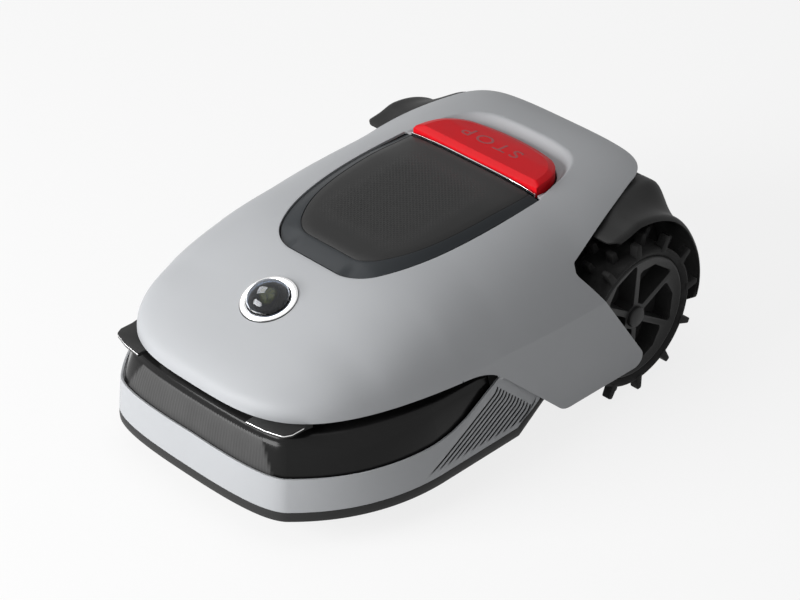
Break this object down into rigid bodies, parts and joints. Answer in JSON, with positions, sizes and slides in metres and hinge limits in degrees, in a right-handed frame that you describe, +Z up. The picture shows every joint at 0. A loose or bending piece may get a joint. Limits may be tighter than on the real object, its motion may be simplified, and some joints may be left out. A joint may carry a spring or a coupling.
{
  "type": "robotic lawn mower",
  "caption": "Low robotic lawn mower with a bowed grey cover, sprung bumper, hinged lid, stop button, nose scanner, lugged drive wheels, swivel casters and a height-adjustable blade disc.",
  "frame": {"origin": "on the ground under the middle of the machine", "axes": "+Z up, nose towards -Y, machine's left towards +X"},
  "size_m": [0.437, 0.643, 0.261],
  "materials": {
    "shell_grey": "satin painted moulding",
    "black_plastic": "fine matte moulding",
    "strip_rubber": "matte",
    "dark_window": "polished, ribbed inside",
    "lid_charcoal": "satin",
    "lid_weave": "fine dashed texture",
    "stop_red": "satin gloss",
    "bright_metal": "polished",
    "dome_glass": "dark clear dome",
    "core_plastic": "tinted",
    "panel_plastic": "fine matte",
    "start_green": "satin",
    "display_glass": "dark window",
    "tyre_rubber": "matte",
    "rim_plastic": "satin",
    "steel": "ground",
    "motor_case": "cast",
    "board_green": "solder mask",
    "battery_case": "matte"
  },
  "bodies": {
    "chassis": {"chassis_tub": "black_plastic", "battery_pack": "battery_case", "battery_cover": "black_plastic", "main_board": "board_green", "rear_housing": "black_plastic", "fender_left": "black_plastic", "fender_right": "black_plastic", "top_cover": "shell_grey", "contact_shelf_left": "black_plastic", "contact_shelf_right": "black_plastic", "contact_strip_left": "bright_metal", "contact_strip_right": "bright_metal", "scanner_base": "black_plastic", "scanner_ring": "bright_metal", "scanner_dome": "dome_glass", "control_tray": "black_plastic", "tray_seal": "strip_rubber", "control_panel": "panel_plastic", "display_glass": "display_glass", "stop_trim": "bright_metal", "stop_spring": "steel", "drive_motor_left": "motor_case", "drive_motor_right": "motor_case", "guide_rods": "steel", "lift_bridge": "steel", "height_motor": "motor_case"},
    "bumper": {"bumper_band": "shell_grey", "bumper_strip": "strip_rubber", "bumper_window": "dark_window", "bumper_pins": "steel"},
    "lid": {"lid_shell": "lid_charcoal", "lid_panel": "lid_weave", "lid_pins": "steel"},
    "stop": {"stop_button": "stop_red"},
    "knob": {"menu_knob": "panel_plastic"},
    "start": {"start_button": "start_green"},
    "home": {"home_button": "panel_plastic"},
    "scanner": {"scanner_core": "core_plastic"},
    "screw": {"lift_screw": "steel"},
    "carriage": {"height_carriage": "black_plastic", "blade_motor": "motor_case"},
    "disc": {"blade_disc": "rim_plastic", "blade_bolts": "steel"},
    "swing_blade_1": {"blade_1": "steel"},
    "swing_blade_2": {"blade_2": "steel"},
    "swing_blade_3": {"blade_3": "steel"},
    "wheel_left": {"wheel_shaft_left": "steel", "tyre_left": "tyre_rubber", "rim_left": "rim_plastic", "hub_cap_left": "rim_plastic"},
    "caster_left": {"caster_fork_left": "black_plastic", "caster_axle_left": "steel"},
    "roller_left": {"caster_wheel_left": "tyre_rubber"},
    "wheel_right": {"wheel_shaft_right": "steel", "tyre_right": "tyre_rubber", "rim_right": "rim_plastic", "hub_cap_right": "rim_plastic"},
    "caster_right": {"caster_fork_right": "black_plastic", "caster_axle_right": "steel"},
    "roller_right": {"caster_wheel_right": "tyre_rubber"}
  },
  "joints": [
    {"name": "bumper_push", "type": "slide", "parent": "chassis", "child": "bumper", "axis": [0, 1, 0], "range_m": [0, 0.008], "stiffness_N_per_m": 2500},
    {"name": "lid_hinge", "type": "hinge", "parent": "chassis", "child": "lid", "pos_m": [0, -0.119, 0.22992], "axis": [1, 0, 0], "range_deg": [0, 70]},
    {"name": "stop_press", "type": "slide", "parent": "chassis", "child": "stop", "axis": [0, 0, -1], "range_m": [0, 0.004], "stiffness_N_per_m": 1500, "deforming": ["stop_spring"]},
    {"name": "knob_turn", "type": "hinge", "parent": "chassis", "child": "knob", "pos_m": [0, -0.01324, 0.21252], "axis": [0, -0.1045, 0.9945], "continuous": true},
    {"name": "start_press", "type": "slide", "parent": "chassis", "child": "start", "axis": [0, 0.1045, -0.9945], "range_m": [0, 0.0012], "stiffness_N_per_m": 800},
    {"name": "home_press", "type": "slide", "parent": "chassis", "child": "home", "axis": [0, 0.1045, -0.9945], "range_m": [0, 0.0012], "stiffness_N_per_m": 800},
    {"name": "scanner_spin", "type": "hinge", "parent": "chassis", "child": "scanner", "pos_m": [0, -0.192, 0.21091], "axis": [0, -0.3173, 0.9483], "continuous": true},
    {"name": "height_slide", "type": "slide", "parent": "chassis", "child": "carriage", "axis": [0, 0, 1], "range_m": [-0.04, 0]},
    {"name": "screw_turn", "type": "hinge", "parent": "chassis", "child": "screw", "pos_m": [0, 0.05, 0.13], "axis": [0, 0, 1], "range_deg": [-1800, 0]},
    {"name": "disc_spin", "type": "hinge", "parent": "carriage", "child": "disc", "pos_m": [0, 0, 0.0715], "axis": [0, 0, 1], "continuous": true},
    {"name": "blade_1_swing", "type": "hinge", "parent": "disc", "child": "swing_blade_1", "pos_m": [0.082, 0, 0.0715], "axis": [0, 0, 1], "continuous": true},
    {"name": "blade_2_swing", "type": "hinge", "parent": "disc", "child": "swing_blade_2", "pos_m": [-0.041, 0.07101, 0.0715], "axis": [0, 0, 1], "continuous": true},
    {"name": "blade_3_swing", "type": "hinge", "parent": "disc", "child": "swing_blade_3", "pos_m": [-0.041, -0.07101, 0.0715], "axis": [0, 0, 1], "continuous": true},
    {"name": "wheel_left_turn", "type": "hinge", "parent": "chassis", "child": "wheel_left", "pos_m": [0.15, 0.199, 0.104], "axis": [1, 0, 0], "continuous": true},
    {"name": "caster_left_swivel", "type": "hinge", "parent": "chassis", "child": "caster_left", "pos_m": [0.088, -0.19, 0.09], "axis": [0, 0, 1], "continuous": true},
    {"name": "caster_left_roll", "type": "hinge", "parent": "caster_left", "child": "roller_left", "pos_m": [0.088, -0.166, 0.037], "axis": [1, 0, 0], "continuous": true},
    {"name": "wheel_right_turn", "type": "hinge", "parent": "chassis", "child": "wheel_right", "pos_m": [-0.15, 0.199, 0.104], "axis": [1, 0, 0], "continuous": true},
    {"name": "caster_right_swivel", "type": "hinge", "parent": "chassis", "child": "caster_right", "pos_m": [-0.088, -0.19, 0.09], "axis": [0, 0, 1], "continuous": true},
    {"name": "caster_right_roll", "type": "hinge", "parent": "caster_right", "child": "roller_right", "pos_m": [-0.088, -0.166, 0.037], "axis": [1, 0, 0], "continuous": true}
  ],
  "couplings": [
    {"joint": "screw_turn", "follows": "height_slide", "rad_per_m": 785.4}
  ]
}
